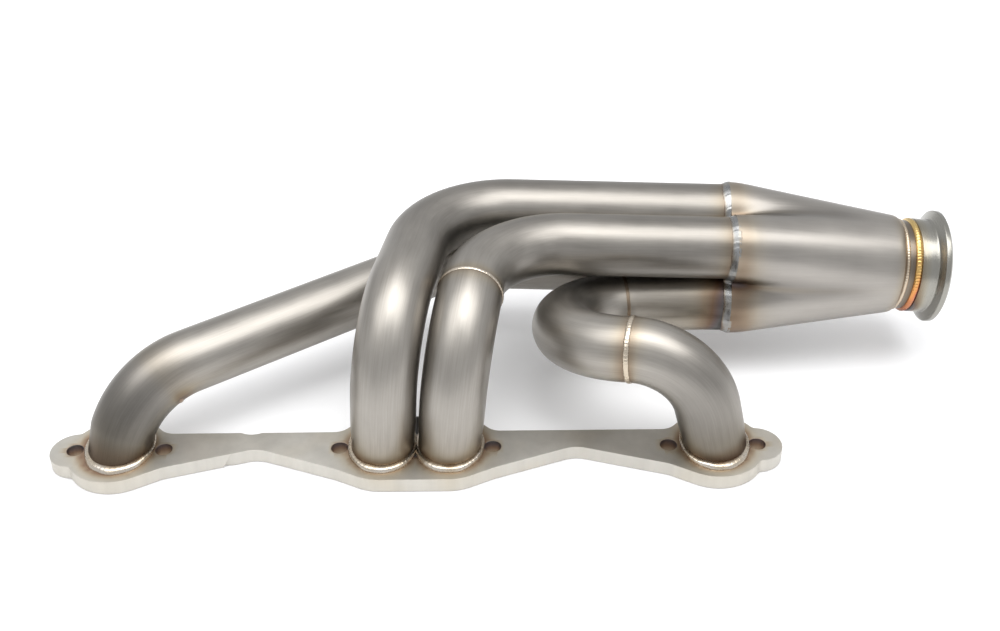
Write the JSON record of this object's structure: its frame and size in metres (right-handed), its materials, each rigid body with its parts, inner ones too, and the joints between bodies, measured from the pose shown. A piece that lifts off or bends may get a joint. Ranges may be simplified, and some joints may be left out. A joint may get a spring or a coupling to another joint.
{
  "type": "exhaust manifold",
  "caption": "Tubular stainless turbo exhaust manifold: bent runners weld from a flat head flange into a lobed merge collector with a V-band outlet.",
  "frame": {"origin": "centre of the head flange's mounting face, midway between the two centre ports", "axes": "+X runs along the cylinder head towards the collector's outlet, +Z points away from the cylinder head, +Y is the side of the ports that the collector lies on"},
  "size_m": [0.589, 0.2038, 0.122],
  "materials": {
    "tube_steel": "satin brushed stainless tube, warm grey, with straw and brown heat tint beside the welds",
    "plate_steel": "matte, as cut from plate, with a slightly yellowish cut edge",
    "collector_steel": "satin formed stainless sheet with brown heat tint at the inlet weld",
    "weld_silver": "bright rippled weld bead, silver with a hint of gold",
    "weld_gold": "rippled weld bead with gold, copper and purple heat colours",
    "vband_steel": "fine turned finish"
  },
  "bodies": {
    "root": {"head_flange": "plate_steel", "runner_1_elbow": "tube_steel", "runner_1_tail": "tube_steel", "runner_2_tube": "tube_steel", "runner_3_elbow": "tube_steel", "runner_3_tail": "tube_steel", "runner_4_elbow": "tube_steel", "runner_4_return_bend": "tube_steel", "runner_4_tail": "tube_steel", "port_weld_1": "weld_silver", "port_weld_2": "weld_silver", "port_weld_3": "weld_silver", "port_weld_4": "weld_silver", "runner_1_joint_weld": "weld_silver", "runner_3_joint_weld": "weld_silver", "runner_4_front_weld": "weld_silver", "runner_4_rear_weld": "weld_silver", "collector_body": "collector_steel", "collector_weld": "weld_silver", "merge_plug": "collector_steel", "outlet_neck": "collector_steel", "outlet_neck_weld": "weld_silver", "vband_weld": "weld_gold", "vband_flange": "vband_steel"}
  },
  "joints": []
}
